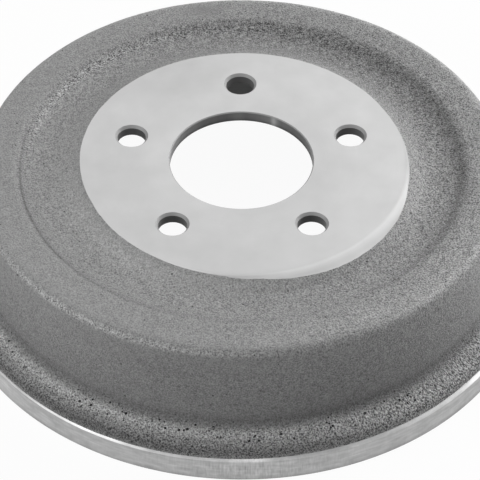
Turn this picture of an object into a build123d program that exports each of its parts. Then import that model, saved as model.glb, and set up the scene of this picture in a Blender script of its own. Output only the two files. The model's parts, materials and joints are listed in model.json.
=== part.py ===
"""Brake drum: one grey-iron casting, turned at the wheel face, hub seat, shoe track and open rim.

The open rim stands on z = 0, the wheel face looks up, and Z is the axis that every turned face runs true to.
All lengths are in millimetres.
"""

import os
from math import cos, radians, sin, tan

from build123d import *

# Mounting plate: pilot bore, stud holes and the seat that lands on the axle flange
height = 72.0  # open rim to wheel face
plate_thickness = 5.6
pilot_d = 70.6
pilot_break = 0.5  # chamfer of the pilot bore at the wheel face
stud_circle_d = 114.3
stud_count = 5
stud_hole_d = 14.1
stud_mouth = 1.2  # chamfer of a stud hole at the wheel face
first_stud_angle = 90.0
seat_d = 152.0

# Boss that carries the wheel face, with the lump cast on one side and the bevel turned across it
face_d = 162.6
lump_angle = -50.0
lump_shift = 4.3
lump_inset = 2.0  # how much smaller the lump's radius is than the boss's
lump_lean = 60.0  # degrees from upright
bevel_margin = 0.5  # turned bevel starts this far outside the boss
bevel_depth = 2.2
bevel_slope = 20.0  # degrees

# Dished web between the boss and the shoulder
flank_run = 9.2  # width of the steep slope beside the boss
flank_depth = 4.3  # foot of that slope below the wheel face
dish_run = 4.8  # width of the gentler slope beyond it
dish_depth = 5.2  # deepest ring of the web below the wheel face
root_depth = 3.5  # foot of the step below the wheel face
step_run = 2.8  # width of the step up to the shoulder

# Shoulder and side wall
shoulder_depth = 2.8  # shoulder below the wheel face
shoulder_width = 18.7
shoulder_radius = 5.0
friction_d = 250.0
wall_thickness = 6.0  # at the shoulder, from where the wall drafts outwards
wall_draft = 2.3  # degrees
crown_thickness = 6.7  # from the shoulder down to the flat underside of the web

# Flared flange and turned open rim
flange_z = 24.2  # where wall and flange meet
flange_reach = 12.7
flange_slope = 22.0  # degrees
flange_edge = 2.0  # cast corner at the flange's outer edge
rim_band = 12.2  # turned band round the outside
rim_skim = 1.4  # turned band proud of the cast flange, joined by a 45 degree bevel
rim_break = 0.6  # chamfer of the open rim
rabbet_width = 11.0  # step inside the rim that clears the backing plate
rabbet_depth = 5.0

# Inside corner where the shoe track ends at the web
inner_corner = 4.0

# Radii and levels that follow from the sizes above
pilot_r = pilot_d / 2
stud_hole_r = stud_hole_d / 2
face_r = face_d / 2
seat_r = seat_d / 2
friction_r = friction_d / 2
seat_z = height - plate_thickness
shoulder_z = height - shoulder_depth
crown_z = shoulder_z - crown_thickness
wall_top_r = friction_r + wall_thickness
wall_foot_r = wall_top_r + (shoulder_z - flange_z) * tan(radians(wall_draft))
shoulder_r = wall_top_r - shoulder_width
flange_r = wall_foot_r + flange_reach
flange_edge_z = flange_z - flange_reach * tan(radians(flange_slope))
rim_r = flange_r + rim_skim
rabbet_r = friction_r + rabbet_width
flank_r = face_r + flank_run
dish_r = flank_r + dish_run
web_root_r = shoulder_r - step_run
bevel_r = face_r + bevel_margin
bevel_run = bevel_depth / tan(radians(bevel_slope))
lump_r = face_r - lump_inset
lump_foot_r = lump_r + dish_depth * tan(radians(lump_lean))
lump_far_r = lump_foot_r + lump_shift + bevel_run
lump_x = lump_shift * cos(radians(lump_angle))
lump_y = lump_shift * sin(radians(lump_angle))

os.makedirs("parts", exist_ok=True)

# Lump cast off centre beside the boss, with the bevel that runs true to the axis turned across it
with BuildPart() as lump:
    with Locations((lump_x, lump_y, height - dish_depth / 2)):
        Cone(lump_foot_r, lump_r, dish_depth)
    with BuildSketch(Plane.XZ):
        with BuildLine():
            Polyline(
                (bevel_r, height),
                (bevel_r + bevel_run, height - bevel_depth),
                (lump_far_r, height - bevel_depth),
                (lump_far_r, height),
                close=True,
            )
        make_face()
    revolve(axis=Axis.Z, mode=Mode.SUBTRACT)

with BuildPart() as brake_drum:
    # Half section on the XZ plane: from the wheel face out to the shoulder, down the wall to the open rim,
    # then up the shoe track and in under the web to the axle-flange seat
    with BuildSketch(Plane.XZ) as section:
        with BuildLine():
            Polyline(
                (0, height),
                (face_r, height),
                (flank_r, height - flank_depth),
                (dish_r, height - dish_depth),
                (web_root_r, height - root_depth),
                (shoulder_r, shoulder_z),
            )
            FilletPolyline(
                (shoulder_r, shoulder_z),
                (wall_top_r, shoulder_z),
                (wall_foot_r, flange_z),
                radius=shoulder_radius,
            )
            Polyline(
                (wall_foot_r, flange_z),
                (flange_r, flange_edge_z),
                (flange_r, rim_band + rim_skim),
                (rim_r, rim_band),
                (rim_r, rim_break),
                (rim_r - rim_break, 0),
                (rabbet_r, 0),
                (rabbet_r, rabbet_depth),
                (friction_r, rabbet_depth),
                (friction_r, crown_z),
                (seat_r, crown_z),
                (seat_r, seat_z),
                (0, seat_z),
                (0, height),
            )
        make_face()
        chamfer(section.vertices().sort_by_distance((flange_r, flange_edge_z))[0], flange_edge)
        chamfer(section.vertices().sort_by_distance((friction_r, crown_z))[0], inner_corner)
    revolve(axis=Axis.Z)

    # Lump on one side of the boss
    add(lump.part)

    # Pilot bore
    with Locations((0, 0, height)):
        Hole(pilot_r)
    round_edges = brake_drum.edges().filter_by(GeomType.CIRCLE)
    pilot_rims = round_edges.filter_by(lambda edge: abs(edge.radius - pilot_r) < 0.001)
    chamfer(pilot_rims.sort_by(Axis.Z)[-1], pilot_break)

    # Stud holes
    with Locations((0, 0, height)):
        with PolarLocations(stud_circle_d / 2, stud_count, start_angle=first_stud_angle):
            CounterSinkHole(stud_hole_r, stud_hole_r + stud_mouth)

brake_drum.part.label = "brake_drum"
export_step(brake_drum.part, "parts/brake_drum.step")
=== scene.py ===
import json
from functools import partial
from math import cos, pi, radians, sin, tan

import bpy
from mathutils import Matrix, Vector


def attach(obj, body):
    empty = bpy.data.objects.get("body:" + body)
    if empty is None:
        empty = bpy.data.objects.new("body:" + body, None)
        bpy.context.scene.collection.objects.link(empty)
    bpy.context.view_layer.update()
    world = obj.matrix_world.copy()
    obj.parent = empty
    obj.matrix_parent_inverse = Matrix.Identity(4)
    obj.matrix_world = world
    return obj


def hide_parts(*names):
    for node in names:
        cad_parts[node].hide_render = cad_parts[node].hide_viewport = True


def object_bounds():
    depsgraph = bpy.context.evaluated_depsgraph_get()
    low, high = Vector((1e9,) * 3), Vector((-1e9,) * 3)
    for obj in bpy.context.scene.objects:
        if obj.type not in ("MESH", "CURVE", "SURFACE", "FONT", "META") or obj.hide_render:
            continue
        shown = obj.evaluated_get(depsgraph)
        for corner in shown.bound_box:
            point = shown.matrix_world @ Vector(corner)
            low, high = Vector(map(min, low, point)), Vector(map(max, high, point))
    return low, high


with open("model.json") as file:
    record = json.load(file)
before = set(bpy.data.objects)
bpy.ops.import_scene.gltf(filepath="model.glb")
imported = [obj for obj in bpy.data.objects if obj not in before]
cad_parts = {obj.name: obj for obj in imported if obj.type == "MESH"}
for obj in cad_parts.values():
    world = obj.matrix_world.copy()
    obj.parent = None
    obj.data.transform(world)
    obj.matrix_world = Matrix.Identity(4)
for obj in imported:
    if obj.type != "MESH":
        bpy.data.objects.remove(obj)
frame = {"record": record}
cad_low, cad_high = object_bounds()

# Rough casting
# The drum leaves the sand as one piece of grey iron: boss, dished web, shoulder, drafted wall and flared
# flange, with spare metal wherever a face is still to be turned. The sand leaves a fine pebbled skin.
mm = 0.001
mounts = {mount["name"]: mount for mount in frame["record"]["mounts"]}
height = cad_high.z / mm
rim_r = cad_high.x / mm
pilot_r = mounts["pilot_bore"]["dims"]["r_mm"]
track_r = mounts["shoe_track"]["dims"]["r_mm"]
seat_z = mounts["axle_seat"]["pos_m"][2] / mm
stock = 0.8  # spare metal on a face that is turned later
face_r = 81.3
boss_r = face_r - 3.3
flank_r = face_r + 9.2
flank_z = height - 4.3
dish_r = face_r + 14.0
dish_z = height - 5.2
shoulder_z = height - 2.8
crown_z = height - 9.5  # flat underside of the web
wall_top_r = track_r + 6.0
rise_r = wall_top_r - 28.0  # where the web starts to rise to the step
rise_z = height - 4.75
step_foot_r = wall_top_r - 21.5
step_foot_z = height - 3.5
step_r = wall_top_r - 18.5
wall_foot_r = wall_top_r + 1.8
flange_z = 24.2  # where the wall meets the flange
flange_r = rim_r - 1.4
flange_edge_z = 19.1
rim_band = 12.2  # height of the band that is turned round the rim
cast_rim_r = rim_r + 2 * stock
cast_pilot_r = pilot_r - 2.5
cast_track_r = track_r - 1.5
cast_seat_r = 74.0

# Corners are radius, level and rounding, in millimetres, from the boss outwards and back along the inside
casting_corners = [
    (cast_pilot_r, height + stock, 0.0),
    (boss_r, height + stock, 0.0),
    (flank_r, flank_z, 12.0),
    (dish_r, dish_z, 25.0),
    (rise_r, rise_z, 40.0),
    (step_foot_r, step_foot_z, 30.0),
    (step_r, shoulder_z, 6.0),
    (wall_top_r, shoulder_z, 4.2),
    (wall_foot_r, flange_z, 3.0),
    (flange_r, flange_edge_z, 4.0),
    (flange_r, rim_band + 1.5, 0.5),
    (cast_rim_r, rim_band + 1.2, 0.0),
    (cast_rim_r, -stock, 0.0),
    (cast_track_r, -stock, 0.0),
    (cast_track_r, crown_z, 6.0),
    (cast_seat_r, crown_z, 1.0),
    (cast_seat_r - 1.0, seat_z - stock, 1.0),
    (cast_pilot_r, seat_z - stock, 0.0),
]


def section_curve(name, corners, closed=True):
    """A half section on the XZ plane: each corner's rounding is kept as its point's radius."""
    curve = bpy.data.curves.new(name, "CURVE")
    curve.dimensions = "3D"
    spline = curve.splines.new("POLY")
    spline.points.add(len(corners) - 1)
    for point, (radius, level, rounding) in zip(spline.points, corners):
        point.co = (radius * mm, 0.0, level * mm, 1.0)
        point.radius = rounding * mm
    spline.use_cyclic_u = closed
    section = bpy.data.objects.new(name, curve)
    bpy.context.scene.collection.objects.link(section)
    return section


def new_tree(name, kind, inputs, outputs):
    """An empty node tree with named sockets, and the ends that its nodes hang between."""
    tree = bpy.data.node_groups.new(name, kind)
    for direction, sockets in (("INPUT", inputs), ("OUTPUT", outputs)):
        for label, socket in sockets.items():
            tree.interface.new_socket(label, in_out=direction, socket_type="NodeSocket" + socket)
    return tree, tree.nodes.new("NodeGroupInput").outputs, tree.nodes.new("NodeGroupOutput").inputs


def put(tree, kind, inputs=None, **settings):
    """Places a node, sets its options, and links or fills its inputs."""
    made = tree.nodes.new(kind)
    for option, value in settings.items():
        setattr(made, option, value)
    for socket, value in (inputs or {}).items():
        if isinstance(value, bpy.types.NodeSocket):
            tree.links.new(value, made.inputs[socket])
        else:
            made.inputs[socket].default_value = value
    return made


def sums(tree, operation, *values):
    """A Math node's result."""
    return put(tree, "ShaderNodeMath", dict(enumerate(values)), operation=operation).outputs[0]


def arrows(tree, operation, *values, **named):
    """A Vector Math node's result: a length for the operations that measure, and else an arrow."""
    measures = operation in ("LENGTH", "DISTANCE", "DOT_PRODUCT")
    made = put(tree, "ShaderNodeVectorMath", {**dict(enumerate(values)), **named}, operation=operation)
    return made.outputs["Value" if measures else "Vector"]


# Lathe: rounds a section's corners, spaces its rings and sweeps it once round the axis
lathe, given, result = new_tree(
    "lathe",
    "GeometryNodeTree",
    {"Section": "Geometry", "Facets": "Int", "Spacing": "Float"},
    {"Mesh": "Geometry"},
)
sweep_r = 100 * mm
arc_steps = 6
weld = 1e-6
corner_radius = put(lathe, "GeometryNodeInputRadius").outputs[0]
rounded = put(
    lathe,
    "GeometryNodeFilletCurve",
    {"Curve": given["Section"], "Count": arc_steps, "Radius": corner_radius, "Limit Radius": True},
    mode="POLY",
).outputs[0]
here = put(lathe, "GeometryNodeInputPosition").outputs[0]
following = put(lathe, "GeometryNodeOffsetPointInCurve", {"Offset": 1}).outputs["Point Index"]
there = put(
    lathe, "GeometryNodeFieldAtIndex", {"Value": here, "Index": following}, data_type="FLOAT_VECTOR"
).outputs[0]
rings = sums(lathe, "DIVIDE", arrows(lathe, "DISTANCE", here, there), given["Spacing"])
cuts = put(lathe, "FunctionNodeFloatToInt", {0: rings}, rounding_mode="FLOOR").outputs[0]
ringed = put(lathe, "GeometryNodeSubdivideCurve", {"Curve": rounded, "Cuts": cuts}).outputs[0]
place = put(lathe, "ShaderNodeSeparateXYZ", {0: here}).outputs
flat = put(
    lathe,
    "ShaderNodeCombineXYZ",
    {"X": sums(lathe, "SUBTRACT", place["X"], sweep_r), "Y": sums(lathe, "MULTIPLY", place["Z"], -1.0)},
).outputs[0]
profile = put(lathe, "GeometryNodeSetPosition", {"Geometry": ringed, "Position": flat}).outputs[0]
circle = put(
    lathe, "GeometryNodeCurvePrimitiveCircle", {"Resolution": given["Facets"], "Radius": sweep_r}
).outputs[0]
upright = put(lathe, "GeometryNodeSetCurveNormal", {"Curve": circle}, mode="Z_UP").outputs[0]
swept = put(lathe, "GeometryNodeCurveToMesh", {"Curve": upright, "Profile Curve": profile}).outputs[0]
welded = put(lathe, "GeometryNodeMergeByDistance", {"Geometry": swept, "Distance": weld}).outputs[0]
lathe.links.new(welded, result["Mesh"])


# Cutting tools
# The casting is faced, skimmed and bored in the lathe and then drilled. Each cut is the half section of the
# metal that it takes away, so a turned face ends where the tool runs out of the cast skin.
clear = 10.0  # reach of a tool past the metal
facing_r = pilot_r - 5.0
bevel_r = face_r + 0.5
bevel_depth = 2.2
bevel_slope = radians(20)
bevel_end_r = bevel_r + bevel_depth / tan(bevel_slope)
facing_end_r = bevel_end_r + 3.0
facing_corners = [
    (facing_r, height + clear, 0.0),
    (facing_end_r, height + clear, 0.0),
    (facing_end_r, height - bevel_depth, 0.0),
    (bevel_end_r, height - bevel_depth, 0.0),
    (bevel_r, height, 6.0),
    (facing_r, height, 0.0),
]
rim_inner_r = track_r + 9.0
rim_break = 0.12
rim_chamfer = 1.55
rim_corners = [
    (rim_inner_r, 0.0, 0.0),
    (rim_r - rim_break, 0.0, 0.0),
    (rim_r, rim_break, 0.0),
    (rim_r, rim_band, 0.0),
    (rim_r - rim_chamfer, rim_band + rim_chamfer, 0.0),
    (rim_r + clear, rim_band + rim_chamfer, 0.0),
    (rim_r + clear, -clear, 0.0),
    (rim_inner_r, -clear, 0.0),
]
pilot_break = 0.5
boring_over = 2.5  # where the pilot's chamfer tool stands over the face
seat_r = 76.0
track_top_z = crown_z - 4.0
rabbet_r = track_r + 11.0
rabbet_depth = 5.0
boring_corners = [
    (0.0, height + boring_over, 0.0),
    (pilot_r + pilot_break + boring_over, height + boring_over, 0.0),
    (pilot_r, height - pilot_break, 0.0),
    (pilot_r, seat_z, 0.0),
    (seat_r, seat_z, 0.5),
    (seat_r, track_top_z, 0.0),
    (track_r, track_top_z, 1.0),
    (track_r, rabbet_depth, 0.8),
    (rabbet_r, rabbet_depth, 0.6),
    (rabbet_r, -clear, 0.0),
    (0.0, -clear, 0.0),
]
stud = mounts["stud_holes"]["dims"]
stud_r = stud["hole_r_mm"]
stud_mouth = 1.3
drill_over = 2.2
drill_flare = 3.2
drill_end_z = seat_z - 8.0
drill_corners = [
    (0.0, height + drill_over, 0.0),
    (stud_r + drill_flare, height + drill_over, 0.0),
    (stud_r, height - stud_mouth, 0.3),
    (stud_r, drill_end_z, 0.0),
    (0.0, drill_end_z, 0.0),
]


# Finishes
# The iron stays bare. The cast skin is a dull grey with the print of the sand, with pinholes and with pits.
# Each turned, bored or drilled face has the lines and the gloss that its own tool leaves. Rings of painted
# light and shade lie in the tones, and the pits, pinholes and drilled walls are painted dark as painted
# shade.
level_only = (1, 1, 0)  # leaves out how high a place is

# Sand grain: the print of single grains, drawn out where the pattern slid down the flange, with cloudy
# patches, and with pinholes where grains broke away
sand_grain, given, result = new_tree(
    "sand_grain",
    "ShaderNodeTree",
    {
        "Grain Size": "Float",
        "Grain Contrast": "Float",
        "Clump Size": "Float",
        "Clump Contrast": "Float",
        "Patch Size": "Float",
        "Patch Contrast": "Float",
        "Hole Spacing": "Float",
        "Coarseness": "Float",
        "Holes": "Float",
        "Drag": "Float",
    },
    {"Tone": "Float", "Height": "Float"},
)
drag_r = 139 * mm
drag_z = 20 * mm
least_hole = 0.15  # share of the spacing
hole_spread = 0.25
hole_floor = 0.5  # share of the pinhole
hole_depth = 0.8
darkest = 0.1
place = put(sand_grain, "ShaderNodeTexCoord").outputs["Object"]
outward = arrows(sand_grain, "NORMALIZE", arrows(sand_grain, "MULTIPLY", place, level_only))
foot = arrows(sand_grain, "MULTIPLY_ADD", outward, (drag_r, drag_r, 0), (0, 0, drag_z))
downhill = arrows(sand_grain, "SUBTRACT", foot, place)
drawn = arrows(sand_grain, "MULTIPLY_ADD", downhill, given["Drag"], place)


def cloud(tree, where, size, detail):
    """A cloudy value about zero with lumps of one size."""
    scale = sums(tree, "DIVIDE", 1.0, size)
    texture = put(tree, "ShaderNodeTexNoise", {"Vector": where, "Scale": scale, "Detail": detail})
    return sums(tree, "SUBTRACT", texture.outputs["Fac"], 0.5)


grain = cloud(sand_grain, drawn, given["Grain Size"], detail=2.0)
grain = sums(sand_grain, "MULTIPLY", grain, given["Coarseness"])
clump = cloud(sand_grain, place, given["Clump Size"], detail=1.0)
clump = sums(sand_grain, "MULTIPLY", clump, given["Coarseness"])
patch = cloud(sand_grain, place, given["Patch Size"], detail=2.0)
tone = 1.0
for mark, contrast in ((grain, "Grain Contrast"), (clump, "Clump Contrast"), (patch, "Patch Contrast")):
    tone = sums(sand_grain, "MULTIPLY_ADD", mark, given[contrast], tone)
cell_scale = sums(sand_grain, "DIVIDE", 1.0, given["Hole Spacing"])
cells = put(sand_grain, "ShaderNodeTexVoronoi", {"Vector": place, "Scale": cell_scale}).outputs
lot = put(sand_grain, "ShaderNodeSeparateColor", {0: cells["Color"]}).outputs
hole_edge = sums(sand_grain, "MULTIPLY_ADD", lot["Green"], hole_spread, least_hole)
hole = put(
    sand_grain,
    "ShaderNodeMapRange",
    {
        "Value": cells["Distance"],
        "From Min": sums(sand_grain, "MULTIPLY", hole_edge, hole_floor),
        "From Max": hole_edge,
        "To Min": 1.0,
        "To Max": 0.0,
    },
    interpolation_type="SMOOTHSTEP",
).outputs[0]
hole = sums(sand_grain, "MULTIPLY", hole, sums(sand_grain, "LESS_THAN", lot["Red"], given["Holes"]))
tone = sums(sand_grain, "MAXIMUM", tone, darkest)
# Pinholes darken the tone as painted shade inside them, besides sinking the height
tone = sums(sand_grain, "MULTIPLY", tone, sums(sand_grain, "MULTIPLY_ADD", hole, -hole_depth, 1.0))
sand_grain.links.new(tone, result["Tone"])
sand_grain.links.new(sums(sand_grain, "MULTIPLY_ADD", hole, -hole_depth, grain), result["Height"])

# Lathe lines: the rings that a turning tool leaves, broken up by cloudy stains, with upright chatter marks
lathe_lines, given, result = new_tree(
    "lathe_lines",
    "ShaderNodeTree",
    {
        "Pitch": "Float",
        "Line Contrast": "Float",
        "Stain Size": "Float",
        "Stain Squeeze": "Float",
        "Stain Contrast": "Float",
        "Chatter Size": "Float",
        "Chatter Contrast": "Float",
    },
    {"Tone": "Float", "Height": "Float"},
)
line_breaks = 4.0
chatter_stretch = (1, 1, 0.15)
least_chatter = 0.1 * mm
place = put(lathe_lines, "ShaderNodeTexCoord").outputs["Object"]
from_axis = arrows(lathe_lines, "LENGTH", arrows(lathe_lines, "MULTIPLY", place, level_only))
up = put(lathe_lines, "ShaderNodeSeparateXYZ", {0: place}).outputs["Z"]
travel = sums(lathe_lines, "DIVIDE", sums(lathe_lines, "SUBTRACT", from_axis, up), given["Pitch"])
line = put(
    lathe_lines, "ShaderNodeTexNoise", {"W": travel, "Scale": 1.0, "Detail": 1.0}, noise_dimensions="1D"
).outputs["Fac"]
line = sums(lathe_lines, "SUBTRACT", line, 0.5)
squeeze = put(
    lathe_lines, "ShaderNodeCombineXYZ", {"X": 1.0, "Y": 1.0, "Z": given["Stain Squeeze"]}
).outputs[0]
streak = arrows(lathe_lines, "MULTIPLY", place, squeeze)
stain = cloud(lathe_lines, streak, given["Stain Size"], detail=3.0)
broken = sums(lathe_lines, "MULTIPLY", line, sums(lathe_lines, "MULTIPLY_ADD", stain, line_breaks, 1.0))
chatter_size = sums(lathe_lines, "MAXIMUM", given["Chatter Size"], least_chatter)
upright = arrows(lathe_lines, "MULTIPLY", place, chatter_stretch)
chatter = cloud(lathe_lines, upright, chatter_size, detail=1.0)
tone = 1.0
for mark, contrast in ((broken, "Line Contrast"), (stain, "Stain Contrast"), (chatter, "Chatter Contrast")):
    tone = sums(lathe_lines, "MULTIPLY_ADD", mark, given[contrast], tone)
lathe_lines.links.new(tone, result["Tone"])
lathe_lines.links.new(line, result["Height"])

# Ring: a soft band round the axis, even all round at focus 0 and gathered to one side at a higher one
ring_mask, given, result = new_tree(
    "ring_mask",
    "ShaderNodeTree",
    {"Radius": "Float", "Level": "Float", "Width": "Float", "Side Angle": "Float", "Focus": "Float"},
    {"Mask": "Float"},
)
place = put(ring_mask, "ShaderNodeTexCoord").outputs["Object"]
along = put(ring_mask, "ShaderNodeSeparateXYZ", {0: place}).outputs
from_axis = arrows(ring_mask, "LENGTH", arrows(ring_mask, "MULTIPLY", place, level_only))
out = sums(ring_mask, "DIVIDE", sums(ring_mask, "SUBTRACT", from_axis, given["Radius"]), given["Width"])
up = sums(ring_mask, "DIVIDE", sums(ring_mask, "SUBTRACT", along["Z"], given["Level"]), given["Width"])
away = sums(ring_mask, "ADD", sums(ring_mask, "MULTIPLY", out, out), sums(ring_mask, "MULTIPLY", up, up))
band = sums(ring_mask, "EXPONENT", sums(ring_mask, "MULTIPLY", away, -1.0))
heading = sums(ring_mask, "ARCTAN2", along["Y"], along["X"])
facing = sums(ring_mask, "COSINE", sums(ring_mask, "SUBTRACT", heading, given["Side Angle"]))
gathered = sums(ring_mask, "POWER", sums(ring_mask, "MULTIPLY_ADD", facing, 0.5, 0.5), given["Focus"])
ring_mask.links.new(sums(ring_mask, "MULTIPLY", band, gathered), result["Mask"])


def ringed_value(tree, plain, rings):
    """A plain value, raised or lowered by rings of strength, radius, level, width, side angle and focus."""
    for strength, radius, level, width, side_angle, focus in rings:
        ring = put(tree, "ShaderNodeGroup", node_tree=ring_mask)
        shape = (radius * mm, level * mm, width * mm, radians(side_angle), focus)
        for socket, value in zip(ring.inputs, shape):
            socket.default_value = value
        plain = sums(tree, "MULTIPLY_ADD", ring.outputs["Mask"], strength, plain)
    return plain


def finish(name, effect, effect_sizes, painted_shading=(), *, colour, metallic, roughness, relief):
    """A bare-iron finish: one grey, varied in tone and relief by a surface effect and by rings of painted
    light and shade.
    """
    material = bpy.data.materials.new(name)
    material.use_nodes = True
    tree = material.node_tree
    shader = tree.nodes["Principled BSDF"]
    shader.inputs["Metallic"].default_value = metallic
    shader.inputs["Roughness"].default_value = roughness
    surface = put(tree, "ShaderNodeGroup", node_tree=effect)
    for socket, value in effect_sizes.items():
        if isinstance(value, tuple):
            tree.links.new(ringed_value(tree, *value), surface.inputs[socket])
        else:
            surface.inputs[socket].default_value = value
    tone = sums(tree, "MULTIPLY", surface.outputs["Tone"], colour)
    if painted_shading:
        tone = sums(tree, "MULTIPLY", tone, ringed_value(tree, 1.0, painted_shading))
    tree.links.new(tone, shader.inputs["Base Color"])
    bump = put(tree, "ShaderNodeBump", {"Height": surface.outputs["Height"], "Distance": relief})
    tree.links.new(bump.outputs["Normal"], shader.inputs["Normal"])
    return material


# Rings are strength, then radius, level and width in millimetres, then side in degrees and focus
skin_clumps = [
    (-0.40, 140.0, 19.0, 8.0, 0, 0),
    (0.50, 105.0, height - 4.2, 12.0, 82, 3),
]
skin_coarseness = [
    (0.45, 97.0, height - 5.0, 15.0, 0, 0),
    (0.80, 110.0, height - 6.0, 35.0, 20, 2),
    (0.35, 132.0, 45.0, 18.0, 0, 0),
    (1.10, 107.0, height - 3.9, 4.0, 90, 3),
    (0.80, 106.3, height - 3.8, 2.5, 146, 20),
    (-0.60, 121.0, shoulder_z, 5.0, 99, 700),
    (0.90, 130.3, height - 4.3, 1.8, 238, 8),
    (0.40, 122.0, shoulder_z, 12.0, 320, 4),
    (1.20, 139.0, 20.0, 7.0, 0, 0),
    (0.60, 141.0, 19.0, 6.0, 318, 8),
    (1.50, flange_r, 16.5, 4.0, 0, 0),
]
skin_holes = [
    (0.15, 105.0, height - 4.0, 20.0, 10, 2),
    (0.30, 91.0, height - 3.5, 3.5, 302, 8),
    (0.50, 107.0, height - 3.9, 3.5, 80, 3),
    (0.30, 138.5, 20.5, 6.0, 0, 0),
]
# Painted light and shade on the flank beside the boss, lighter or darker by the side that it faces
flank_painted_shading = [
    (-0.24, 90.0, height - 3.5, 5.0, 58, 3),
    (-0.16, 84.5, height - 1.6, 4.5, 65, 4),
    (0.42, 86.0, height - 2.8, 8.0, 230, 4),
    (0.12, 96.0, height - 5.0, 10.0, 225, 8),
    (0.14, 90.0, height - 4.0, 9.0, 345, 10),
    (0.12, 89.0, height - 3.5, 5.0, 345, 80),
]
# Painted shade in the groove at the foot of the step, deepest at the right and the back, with a thin painted
# shadow line on the left and painted light on some of its slopes
web_painted_shading = [
    (-0.15, 109.3, height - 3.5, 2.0, 0, 0),
    (-0.22, 107.8, height - 3.8, 2.8, 0, 2),
    (-0.34, 103.8, height - 4.3, 8.0, 55, 3),
    (0.12, 109.0, height - 3.6, 3.0, 58, 14),
    (0.17, 106.3, height - 3.8, 2.2, 148, 30),
    (0.14, 106.0, height - 4.0, 5.0, 150, 4),
    (0.12, 109.8, height - 3.3, 2.0, 165, 20),
    (-0.08, 104.5, height - 4.2, 4.0, 186, 30),
    (-0.40, 109.2, height - 3.5, 0.6, 198, 12),
    (-0.10, 106.8, height - 4.0, 2.5, 215, 14),
    (0.14, 108.8, height - 3.7, 2.5, 294, 30),
    (-0.14, 112.0, height - 3.3, 4.0, 353, 60),
]
# Painted highlights along the shoulder's rounded edge at the front and back, painted side shading on its
# top, and a smooth darker smudge at the back
shoulder_shading_and_smudge = [
    (-0.10, 119.0, shoulder_z, 7.0, 33, 4),
    (-0.14, 121.0, shoulder_z, 4.5, 99, 700),
    (0.22, 128.5, height - 3.5, 3.0, 100, 1),
    (0.55, 130.3, height - 4.3, 1.6, 238, 14),
    (0.10, 121.0, shoulder_z, 10.0, 260, 1),
    (-0.20, 128.5, height - 3.4, 2.6, 291, 60),
    (0.09, 122.5, shoulder_z, 4.0, 303, 60),
    (0.34, 128.3, height - 3.2, 2.2, 322, 12),
    (0.10, 121.0, shoulder_z, 10.0, 325, 4),
]
# Painted shade on the wall: darker towards its foot, in the corner at the flange, and at the front
wall_painted_shading = [
    (-0.12, 132.5, 32.0, 12.0, 0, 0),
    (-0.13, 132.0, 55.0, 16.0, 254, 40),
    (-0.12, 132.0, 46.0, 20.0, 302, 10),
    (-0.30, 133.2, flange_z, 4.0, 0, 0),
]
# Painted light on the flange, strongest at the front left and front right, and painted shade along its outer
# edge
flange_painted_shading = [
    (0.12, 139.0, 21.3, 4.5, 0, 0),
    (0.60, 138.0, 22.2, 3.0, 235, 3),
    (0.18, 140.0, 20.7, 3.5, 242, 20),
    (0.27, 143.5, 19.0, 3.2, 304, 60),
    (-0.14, 145.0, 17.5, 2.5, 240, 100),
    (-0.45, flange_r, 17.0, 3.2, 0, 0),
    (0.28, flange_r, 16.5, 4.0, 312, 6),
]
cast_skin = finish(
    "cast_skin",
    sand_grain,
    {
        "Grain Size": 0.75 * mm,
        "Grain Contrast": 2.2,
        "Clump Size": 2.2 * mm,
        "Clump Contrast": (0.5, skin_clumps),
        "Patch Size": 9.0 * mm,
        "Patch Contrast": 0.15,
        "Hole Spacing": 1.6 * mm,
        "Coarseness": (0.62, skin_coarseness),
        "Holes": (0.02, skin_holes),
        "Drag": (0.0, [(0.48, 139.0, 20.0, 9.0, 318, 20)]),
    },
    flank_painted_shading + web_painted_shading + shoulder_shading_and_smudge + wall_painted_shading + flange_painted_shading,
    colour=0.345,
    metallic=0.0,
    roughness=0.8,
    relief=0.5 * mm,
)
# The pits are painted almost black, as painted shade inside them
sand_pit_painted_shade = finish(
    "sand_pit_painted_shade",
    sand_grain,
    {
        "Grain Size": 0.5 * mm,
        "Grain Contrast": 0.8,
        "Clump Size": 2.0 * mm,
        "Patch Size": 5.0 * mm,
        "Hole Spacing": 1.0 * mm,
        "Coarseness": 1.0,
    },
    colour=0.03,
    metallic=0.0,
    roughness=0.9,
    relief=0.1 * mm,
)
# Painted side shading on the turned face, darker at the front left, with smaller darker patches
face_shading_and_patches = [
    (-0.13, 60.0, height, 60.0, 235, 1),
    (-0.10, 66.0, height, 14.0, 115, 40),
    (-0.05, 80.0, height, 6.0, 128, 20),
    (-0.07, 40.0, height, 12.0, 20, 2),
    (0.06, 40.0, height, 12.0, 195, 2),
    (-0.05, 75.0, height, 10.0, 268, 14),
]
# Painted shade on the bevel round the face, strongest at the right where a lamp is reflected
bevel_painted_shade = [
    (-0.32, 85.5, height - 1.4, 3.5, 278, 10),
    (-0.90, 83.0, height - 1.2, 1.5, 3, 40),
    (-0.30, 86.5, height - 1.9, 2.5, 338, 40),
    (-0.22, 82.5, height - 0.3, 1.2, 266, 60),
]
turned_iron = finish(
    "turned_iron",
    lathe_lines,
    {
        "Pitch": 0.8 * mm,
        "Line Contrast": 0.02,
        "Stain Size": 14.0 * mm,
        "Stain Squeeze": 1.0,
        "Stain Contrast": 0.20,
    },
    face_shading_and_patches + bevel_painted_shade,
    colour=0.55,
    metallic=0.8,
    roughness=0.4,
    relief=0.001 * mm,
)
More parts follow.
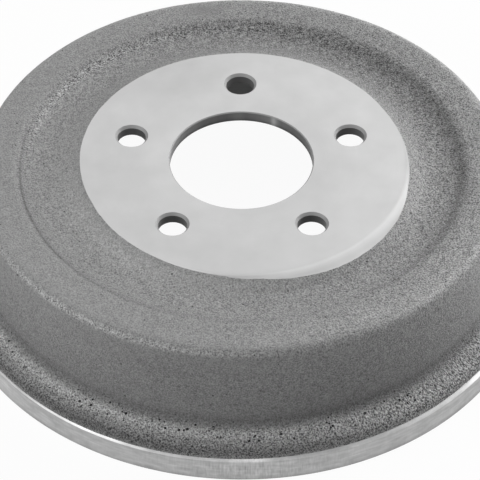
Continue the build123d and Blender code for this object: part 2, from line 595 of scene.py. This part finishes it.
# Painted shade along the foot of the rim and painted light on its front left
rim_painted_shading = [
    (-0.25, rim_r, 0.0, 1.8, 0, 0),
    (0.10, rim_r, 6.0, 8.0, 214, 60),
]
glint_inset = 0.8
chamfer_glints = [
    (strength, rim_r - glint_inset, rim_band + glint_inset, 1.3, side_angle, focus)
    for strength, side_angle, focus in (
        (-0.30, 222, 200),
        (0.35, 240, 400),
        (-0.25, 254, 300),
        (0.70, 271.5, 1300),
        (-0.20, 285, 100),
        (0.20, 318, 20),
    )
]
rim_iron = finish(
    "rim_iron",
    lathe_lines,
    {
        "Pitch": 0.6 * mm,
        "Line Contrast": 0.25,
        "Stain Size": 7.0 * mm,
        "Stain Squeeze": 3.0,
        "Stain Contrast": 0.7,
        "Chatter Size": 0.8 * mm,
        "Chatter Contrast": (0.15, [(0.85, rim_r, 6.0, 6.0, 272, 90)]),
    },
    rim_painted_shading + chamfer_glints,
    colour=0.435,
    metallic=0.8,
    roughness=0.4,
    relief=0.003 * mm,
)
bored_iron = finish(
    "bored_iron",
    lathe_lines,
    {
        "Pitch": 0.6 * mm,
        "Line Contrast": 0.25,
        "Stain Size": 20.0 * mm,
        "Stain Squeeze": 1.0,
        "Stain Contrast": 0.20,
    },
    colour=0.30,
    metallic=0.0,
    roughness=0.5,
    relief=0.01 * mm,
)
pilot_iron = finish(
    "pilot_iron",
    lathe_lines,
    {
        "Pitch": 0.8 * mm,
        "Line Contrast": 0.10,
        "Stain Size": 5.0 * mm,
        "Stain Squeeze": 0.15,
        "Stain Contrast": 0.8,
    },
    # Painted reflections as bright upright streaks at the back of the bore, painted shade on its right side
    # and a painted shadow line at its foot
    [
        (1.8, pilot_r, height - 2.5, 4.0, 62, 1500),
        (0.4, pilot_r, height - 2.5, 5.0, 66, 100),
        (0.3, pilot_r, height - 2.5, 5.0, 92, 200),
        (-0.5, pilot_r, height - 3.0, 8.0, 15, 5),
        (-0.6, pilot_r, seat_z, 1.6, 0, 0),
    ],
    colour=0.27,
    metallic=0.0,
    roughness=0.5,
    relief=0.01 * mm,
)
# The drilled walls are painted dark, as painted shade inside the stud holes
drilled_iron_painted_shade = finish(
    "drilled_iron_painted_shade",
    lathe_lines,
    {
        "Pitch": 0.8 * mm,
        "Line Contrast": 0.15,
        "Stain Size": 4.0 * mm,
        "Stain Squeeze": 0.3,
        "Stain Contrast": 0.80,
    },
    colour=0.09,
    metallic=0.0,
    roughness=0.5,
    relief=0.01 * mm,
)
chamfer_iron = finish(
    "chamfer_iron",
    lathe_lines,
    {
        "Pitch": 0.4 * mm,
        "Line Contrast": 0.10,
        "Stain Size": 4.0 * mm,
        "Stain Squeeze": 1.0,
        "Stain Contrast": 0.20,
    },
    colour=0.36,
    metallic=0.2,
    roughness=0.6,
    relief=0.005 * mm,
)

# Making of the drum
# The mould's parts sit a little out of line, so the cast boss, lump, shoulder and flange aren't quite true
# to the axis. The pebbled skin and its pits are cast in, and the tools then cut faces that run true.
drum_tree, given, result = new_tree(
    "brake_drum",
    "GeometryNodeTree",
    {
        "Geometry": "Geometry",
        "Casting": "Object",
        "Facing": "Object",
        "Rim": "Object",
        "Boring": "Object",
        "Drill": "Object",
        "Facets": "Int",
        "Hole Facets": "Int",
        "Skin Spacing": "Float",
        "Plain Spacing": "Float",
        "Boss Shift": "Vector",
        "Shoulder Shift": "Vector",
        "Shoulder Draw": "Float",
        "Flange Shift": "Vector",
        "Lump Angle": "Float",
        "Lump Shift": "Float",
        "Lump Radius": "Float",
        "Lump Foot": "Float",
        "Toe Share": "Vector",
        "Toe Scale": "Vector",
        "Pebble Size": "Float",
        "Pebble Height": "Float",
        "Swell Size": "Float",
        "Swell Height": "Float",
        "Stud Circle": "Float",
        "Stud Count": "Int",
        "Pits": "Float",
        "Pit Radius": "Float",
        "Pit Groups": "Object",
        "Pits Each": "Int",
        "Group Width": "Float",
        "Seed": "Int",
    },
    {"Mesh": "Geometry"},
)
step = partial(put, drum_tree)
reckon = partial(sums, drum_tree)
steer = partial(arrows, drum_tree)


def past(value, limit):
    """1 where a length is over a limit in millimetres, and 0 elsewhere."""
    return reckon("GREATER_THAN", value, limit * mm)


def short_of(value, limit):
    """1 where a length is under a limit in millimetres, and 0 elsewhere."""
    return reckon("LESS_THAN", value, limit * mm)


def fade(value, start, end):
    """A share that goes smoothly from 1 at the start to 0 at the end, in millimetres."""
    return step(
        "ShaderNodeMapRange",
        {"Value": value, "From Min": start * mm, "From Max": end * mm, "To Min": 1.0, "To Max": 0.0},
        interpolation_type="SMOOTHSTEP",
    ).outputs[0]


def all_of(share, *others):
    """Where several shares hold at once."""
    for other in others:
        share = reckon("MULTIPLY", share, other)
    return share


def turned_solid(section, spacing, facets="Facets"):
    """The solid that a section sweeps out in the lathe."""
    outline = step("GeometryNodeObjectInfo", {"Object": given[section]}).outputs["Geometry"]
    return step(
        "GeometryNodeGroup",
        {"Section": outline, "Facets": given[facets], "Spacing": spacing},
        node_tree=lathe,
    ).outputs["Mesh"]


def moved(solid, offset):
    """A solid with its points moved."""
    return step("GeometryNodeSetPosition", {"Geometry": solid, "Offset": offset}).outputs[0]


def flange_moved(solid, share, foot_share):
    """A solid moved aside with the flange, with the flange's foot kept on the rim chamfer's cone."""
    aside = steer("SCALE", given["Flange Shift"], Scale=share)
    out_by = steer("DOT_PRODUCT", given["Flange Shift"], outward)
    sunk = steer("SCALE", (0, 0, -1), Scale=reckon("MULTIPLY", out_by, foot_share))
    return moved(solid, steer("ADD", aside, sunk))


def boolean(operation, first, others):
    """Solids joined or cut, with the first one as the stock."""
    cut = step("GeometryNodeMeshBoolean", operation=operation, solver="MANIFOLD")
    if first is not None:
        drum_tree.links.new(first, cut.inputs["Mesh 1"])
    for other in others:
        drum_tree.links.new(other, cut.inputs["Mesh 2"])
    return cut.outputs["Mesh"]


def noise(size, depth, detail):
    """A cloudy height with its lumps about one size across."""
    texture = step(
        "ShaderNodeTexNoise",
        {"W": given["Seed"], "Scale": reckon("DIVIDE", 1.0, size), "Detail": detail},
        noise_dimensions="4D",
    )
    return reckon("MULTIPLY", reckon("MULTIPLY_ADD", texture.outputs["Fac"], 2.0, -1.0), depth)


def drawn_lot(seed, least, most):
    """A number that is drawn for each point."""
    return step("FunctionNodeRandomValue", {2: least, 3: most, "Seed": seed}).outputs[1]


def real(solid):
    """Instances made into a mesh of their own."""
    return step("GeometryNodeRealizeInstances", {"Geometry": solid}).outputs[0]


def dressed(solid, material, where=True):
    """A solid with a finish, all over or only in one place."""
    inputs = {"Geometry": solid, "Selection": where, "Material": material}
    return step("GeometryNodeSetMaterial", inputs).outputs[0]


# Sweeping of the casting, with close rings only where the skin shows
web_under_z = 66.5
wall_start_r = track_r + 2.0
skin_start_r = face_r - 2.5
here = step("GeometryNodeInputPosition").outputs[0]
place = step("ShaderNodeSeparateXYZ", {0: here}).outputs
outward = steer("NORMALIZE", steer("MULTIPLY", here, level_only))
across = reckon("SQRT", reckon("ADD", *(reckon("POWER", place[axis], 2.0) for axis in "XY")))
on_web = past(place["Z"], web_under_z)
on_wall = past(across, wall_start_r)
on_skin = all_of(reckon("MAXIMUM", on_web, on_wall), past(across, skin_start_r))
closer_by = reckon("SUBTRACT", given["Plain Spacing"], given["Skin Spacing"])
spacing = reckon("SUBTRACT", given["Plain Spacing"], reckon("MULTIPLY", on_skin, closer_by))
rough = turned_solid("Casting", spacing)

# Mould shift at the boss, at the back of the shoulder and at the flange, each fading out
boss_fade = (face_r + 2.7, face_r + 15.7)
front_fade = (-20.0, 40.0)
shoulder_fade = (wall_top_r - 7.0, wall_top_r - 19.0)
wall_fade = (58.0, 40.0)
flange_start_r = wall_top_r + 3.5
flange_fade = (flange_r - 2.0, flange_start_r)
flange_top_fade = (24.0, 30.0)
foot_fade = (rim_band + 1.6, rim_band + 5.0)
foot_low = 1.0
at_boss = all_of(on_web, fade(across, *boss_fade))
rough = moved(rough, steer("SCALE", given["Boss Shift"], Scale=at_boss))
to_front = reckon("MULTIPLY", place["Y"], -1.0)
on_shoulder = all_of(fade(across, *shoulder_fade), fade(place["Z"], *wall_fade))
at_shoulder = all_of(fade(to_front, *front_fade), on_shoulder)
drawn_in = steer("MULTIPLY_ADD", outward, given["Shoulder Draw"], given["Shoulder Shift"])
rough = moved(rough, steer("SCALE", drawn_in, Scale=at_shoulder))
at_flange = all_of(fade(across, *flange_fade), fade(place["Z"], *flange_top_fade))
at_foot = all_of(at_flange, fade(place["Z"], *foot_fade), past(place["Z"], foot_low))
rough = flange_moved(rough, at_flange, at_foot)

# Lump cast beside the boss, with a lower toe that runs out round it
lump_low = height - 6.0
lump_rings = 12
lump_lean = tan(radians(60))
lump_radius = face_r - 4.4
lump_cone = step(
    "GeometryNodeMeshCone",
    {
        "Vertices": given["Facets"],
        "Side Segments": lump_rings,
        "Radius Top": given["Lump Radius"],
        "Radius Bottom": given["Lump Foot"],
        "Depth": (height + stock - lump_low) * mm,
    },
).outputs["Mesh"]
lump_place = step(
    "ShaderNodeCombineXYZ",
    {
        "X": reckon("MULTIPLY", given["Lump Shift"], reckon("COSINE", given["Lump Angle"])),
        "Y": reckon("MULTIPLY", given["Lump Shift"], reckon("SINE", given["Lump Angle"])),
        "Z": lump_low * mm,
    },
).outputs[0]
lump = step("GeometryNodeTransform", {"Geometry": lump_cone, "Translation": lump_place}).outputs[0]
toe_place = steer("MULTIPLY", lump_place, given["Toe Share"])
toe = step(
    "GeometryNodeTransform",
    {"Geometry": lump_cone, "Scale": given["Toe Scale"], "Translation": toe_place},
).outputs[0]
cast = boolean("UNION", None, [rough, lump, toe])

# Skin: broad swells and fine pebbles
swell = noise(given["Swell Size"], given["Swell Height"], detail=1.0)
pebble = noise(given["Pebble Size"], given["Pebble Height"], detail=2.0)
normal = step("GeometryNodeInputNormal").outputs[0]
skin = moved(cast, steer("SCALE", normal, Scale=reckon("ADD", swell, pebble)))

# Pits: small ones all over the flange, and groups of large ones
flange_fall = 0.4  # drop for each millimetre outwards
pits_end_r = flange_r - 0.6
pits_low_z = rim_band + 4.0
on_flange = all_of(
    past(across, flange_start_r), short_of(across, pits_end_r), past(place["Z"], pits_low_z)
)
spots = step(
    "GeometryNodeDistributePointsOnFaces",
    {"Mesh": skin, "Selection": on_flange, "Density": given["Pits"], "Seed": given["Seed"]},
).outputs
pit_ball = step("GeometryNodeMeshIcoSphere", {"Radius": given["Pit Radius"], "Subdivisions": 2}).outputs[0]
small_pits = step(
    "GeometryNodeInstanceOnPoints",
    {
        "Points": spots["Points"],
        "Instance": pit_ball,
        "Rotation": spots["Rotation"],
        "Scale": drawn_lot(given["Seed"], least=0.5, most=1.4),
    },
).outputs[0]
groups = step("GeometryNodeObjectInfo", {"Object": given["Pit Groups"]}).outputs["Geometry"]
big_spots = step(
    "GeometryNodeDuplicateElements", {"Geometry": groups, "Amount": given["Pits Each"]}, domain="POINT"
).outputs[0]
round_rim = steer("CROSS_PRODUCT", outward, (0, 0, 1))
downhill = steer("ADD", outward, (0, 0, -flange_fall))
for heading, turn_of in ((round_rim, 1), (downhill, 2)):
    stray = drawn_lot(reckon("ADD", given["Seed"], turn_of), least=-1.0, most=1.0)
    stray = reckon("MULTIPLY", stray, given["Group Width"])
    big_spots = moved(big_spots, steer("SCALE", heading, Scale=stray))
big_size = drawn_lot(given["Seed"], least=0.9, most=1.5)
big_pits = step(
    "GeometryNodeInstanceOnPoints", {"Points": big_spots, "Instance": pit_ball, "Scale": big_size}
).outputs[0]
all_pits = step("GeometryNodeJoinGeometry")
for some_pits in (small_pits, big_pits):
    drum_tree.links.new(some_pits, all_pits.inputs[0])
pits = dressed(real(all_pits.outputs[0]), sand_pit_painted_shade)

# Cuts of the tools, each in the finish that it leaves, with the drilled walls painted dark as painted shade
drill = dressed(turned_solid("Drill", given["Plain Spacing"], "Hole Facets"), drilled_iron_painted_shade)
stud_circle = step(
    "GeometryNodeMeshCircle", {"Vertices": given["Stud Count"], "Radius": given["Stud Circle"]}
).outputs[0]
first_up = step("GeometryNodeTransform", {"Geometry": stud_circle, "Rotation": (0, 0, pi / 2)}).outputs[0]
drills = real(step("GeometryNodeInstanceOnPoints", {"Points": first_up, "Instance": drill}).outputs[0])
facing_cut = dressed(turned_solid("Facing", given["Plain Spacing"]), turned_iron)
past_band = past(place["Z"], rim_band + 0.5)
rim_cut = dressed(turned_solid("Rim", given["Plain Spacing"]), rim_iron)
rim_cut = flange_moved(rim_cut, past_band, past_band)
boring_cut = dressed(turned_solid("Boring", given["Plain Spacing"]), bored_iron)
machined = boolean("DIFFERENCE", skin, [facing_cut, rim_cut, boring_cut, drills, pits])

# Edges: crisp where two cuts meet at an angle and where one finish ends at another. A finish's slot number
# is 0 on the uncut skin, and on an edge it is the mean of both sides.
cut_crease = radians(17)
cast_crease = radians(28)
slot_index = step("GeometryNodeInputMaterialIndex").outputs[0]
turned_here = step(
    "GeometryNodeFieldOnDomain", {"Value": slot_index}, domain="FACE", data_type="FLOAT"
).outputs[0]
edge_angle = step("GeometryNodeInputMeshEdgeAngle").outputs["Unsigned Angle"]
cut_edge = all_of(reckon("GREATER_THAN", edge_angle, cut_crease), reckon("GREATER_THAN", turned_here, 0.9))
any_edge = reckon("MAXIMUM", cut_edge, reckon("GREATER_THAN", edge_angle, cast_crease))
finish_ends = reckon("GREATER_THAN", reckon("PINGPONG", turned_here, 0.5), 0.01)
crisp = reckon("MAXIMUM", any_edge, finish_ends)
smooth = step(
    "GeometryNodeSetShadeSmooth", {"Geometry": machined, "Shade Smooth": True}, domain="FACE"
).outputs[0]
creased = step(
    "GeometryNodeSetShadeSmooth",
    {"Geometry": smooth, "Selection": crisp, "Shade Smooth": False},
    domain="EDGE",
).outputs[0]

# Bore wall, broken edges of the bore and the holes, and the skin that no tool has cut
bore_wall_r = pilot_r + 0.8
bore_wall_z = height - 0.05
holes_r = face_r - 10.0
wall_like = 0.3
face_like = 0.95
in_bore = all_of(short_of(across, bore_wall_r), short_of(place["Z"], bore_wall_z))
upward = step("ShaderNodeSeparateXYZ", {0: normal}).outputs["Z"]
slanted = all_of(reckon("GREATER_THAN", upward, wall_like), reckon("LESS_THAN", upward, face_like))
on_chamfer = all_of(short_of(across, holes_r), slanted)
uncut = reckon("LESS_THAN", slot_index, 0.5)
iron = real(creased)
for material, where in ((pilot_iron, in_bore), (chamfer_iron, on_chamfer), (cast_skin, uncut)):
    iron = dressed(iron, material, where)
drum_tree.links.new(iron, result["Mesh"])

# Groups of large pits on the flange, by angle and by run out from the foot of the wall
pit_places = []
for angle, run in ((238, 6), (246, 6), (254, 4), (258, 6), (265, 5), (272, 7), (287, 5), (303, 6), (305, 7)):
    pit_r = (wall_foot_r + run) * mm
    pit_z = (flange_z - flange_fall * run) * mm
    pit_places.append((pit_r * cos(radians(angle)), pit_r * sin(radians(angle)), pit_z))
pit_mesh = bpy.data.meshes.new("pit_groups")
pit_mesh.from_pydata(pit_places, [], [])
pit_groups = bpy.data.objects.new("pit_groups", pit_mesh)
bpy.context.scene.collection.objects.link(pit_groups)

# Sections, sizes and seed of this drum
patterns = {
    "Casting": section_curve("casting_section", casting_corners),
    "Facing": section_curve("facing_section", facing_corners),
    "Rim": section_curve("rim_section", rim_corners),
    "Boring": section_curve("boring_section", boring_corners, closed=False),
    "Drill": section_curve("drill_section", drill_corners, closed=False),
    "Pit Groups": pit_groups,
}
sizes = {
    "Facets": 450,
    "Hole Facets": 72,
    "Skin Spacing": 1.1 * mm,
    "Plain Spacing": 30.0 * mm,
    "Boss Shift": (0.35 * mm, 1.25 * mm, 0.0),
    "Shoulder Shift": (0.81 * mm, -0.27 * mm, 0.0),
    "Shoulder Draw": -0.54 * mm,
    "Flange Shift": (-0.58 * mm, -0.30 * mm, 0.0),
    "Lump Angle": radians(-49.0),
    "Lump Shift": 7.0 * mm,
    "Lump Radius": (lump_radius - stock * lump_lean) * mm,
    "Lump Foot": (lump_radius + (height - lump_low) * lump_lean) * mm,
    "Toe Share": (0.42, 0.42, 1.0),
    "Toe Scale": (1.042, 1.042, 1.0),
    "Pebble Size": 3.0 * mm,
    "Pebble Height": 0.10 * mm,
    "Swell Size": 30.0 * mm,
    "Swell Height": 0.14 * mm,
    "Stud Circle": stud["pcd_mm"] / 2 * mm,
    "Stud Count": stud["count"],
    "Pits": 6000.0,
    "Pit Radius": 0.5 * mm,
    "Pits Each": 3,
    "Group Width": 2.6 * mm,
    "Seed": 7,
}
drum = bpy.data.objects.new("brake_drum_iron", bpy.data.meshes.new("brake_drum_iron"))
bpy.context.scene.collection.objects.link(drum)
making = drum.modifiers.new("making", "NODES")
making.node_group = drum_tree
settings = {**patterns, **sizes}
for socket in drum_tree.interface.items_tree:
    if socket.name in settings:
        making[socket.identifier] = settings[socket.name]
made = drum.evaluated_get(bpy.context.evaluated_depsgraph_get())
drum_mesh = bpy.data.meshes.new_from_object(made)
drum.modifiers.remove(making)
drum_mesh.materials.pop(index=0)
drum.data = drum_mesh
for pattern in patterns.values():
    bpy.data.objects.remove(pattern)
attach(drum, "root")
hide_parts("brake_drum")

# Stage
# A plain floor and a white surround, which look white both directly and in a gloss but throw no light of
# their own. One large soft light hangs overhead, and one stands at each side.
floor_reach = 6
floor_corners = [(x * floor_reach, y * floor_reach, 0) for x, y in ((-1, -1), (1, -1), (1, 1), (-1, 1))]
floor_mesh = bpy.data.meshes.new("floor")
floor_mesh.from_pydata(floor_corners, [], [(0, 1, 2, 3)])
floor = bpy.data.objects.new("floor", floor_mesh)
bpy.context.scene.collection.objects.link(floor)
floor_glow = 0.95
floor_grey = 0.8
floor_seen_grey = 0.05


def seen(tree):
    """1 where the floor or the surround is looked at, directly or in a gloss, and 0 where it gives light."""
    rays = put(tree, "ShaderNodeLightPath").outputs
    in_gloss = sums(tree, "MAXIMUM", rays["Is Glossy Ray"], rays["Is Transmission Ray"])
    return sums(tree, "MAXIMUM", rays["Is Camera Ray"], in_gloss)


floor_paint = bpy.data.materials.new("floor_paint")
floor_paint.use_nodes = True
floor_tree = floor_paint.node_tree
floor_shader = floor_tree.nodes["Principled BSDF"]
floor_shader.inputs["Roughness"].default_value = 1.0
floor_shader.inputs["Specular IOR Level"].default_value = 0.0
floor_shader.inputs["Emission Color"].default_value = (1, 1, 1, 1)
floor_seen = seen(floor_tree)
glow = sums(floor_tree, "MULTIPLY", floor_seen, floor_glow)
grey = sums(floor_tree, "MULTIPLY_ADD", floor_seen, floor_seen_grey - floor_grey, floor_grey)
floor_tree.links.new(glow, floor_shader.inputs["Emission Strength"])
floor_tree.links.new(grey, floor_shader.inputs["Base Color"])
floor_mesh.materials.append(floor_paint)

world = bpy.data.worlds.new("studio")
bpy.context.scene.world = world
world.use_nodes = True
surround = world.node_tree.nodes["Background"]
surround.inputs["Color"].default_value = (1, 1, 1, 1)
world.node_tree.links.new(seen(world.node_tree), surround.inputs["Strength"])
light_aim = Vector((0, 0, 0.05))


def soft_light(name, place, width, depth, power):
    """A soft box that faces the drum."""
    lamp = bpy.data.lights.new(name, "AREA")
    lamp.shape = "RECTANGLE"
    lamp.size = width
    lamp.size_y = depth
    lamp.energy = power
    light = bpy.data.objects.new(name, lamp)
    light.location = place
    light.rotation_euler = (light_aim - Vector(place)).to_track_quat("-Z", "Y").to_euler()
    bpy.context.scene.collection.objects.link(light)


soft_light("right_box", place=(1.05, 0.70, 0.42), width=1.6, depth=0.75, power=19.5)
soft_light("overhead_box", place=(-0.30, 0.0, 1.5), width=2.3, depth=2.3, power=14.0)
soft_light("left_box", place=(-1.02, -0.66, 0.60), width=1.2, depth=0.8, power=5.0)

# Camera
# It stands in front of the drum and looks down on it from a fair way off, with the wheel face above the
# middle of the frame and both sides of the rim cut off.
view_elevation = radians(43.56)
view_turn = radians(-0.82)
view_roll = radians(0.41)
view_distance = 1.5
view_side = -0.663 * mm
view_drop = -39.75 * mm
focal_pixels = 3043.5
frame_pixels = 480
turn = Matrix.Rotation(view_turn, 3, "Z") @ Matrix.Rotation(pi / 2 - view_elevation, 3, "X")
turn = turn @ Matrix.Rotation(view_roll, 3, "Z")
offset = turn @ Vector((view_side, view_drop, view_distance))
lens = bpy.data.cameras.new("camera")
lens.sensor_width = 36.0
lens.lens = focal_pixels / frame_pixels * lens.sensor_width
camera = bpy.data.objects.new("camera", lens)
camera.matrix_world = Matrix.Translation(Vector((0, 0, height * mm)) + offset) @ turn.to_4x4()
bpy.context.scene.collection.objects.link(camera)
bpy.context.scene.camera = camera
bpy.context.scene.view_settings.view_transform = "Standard"
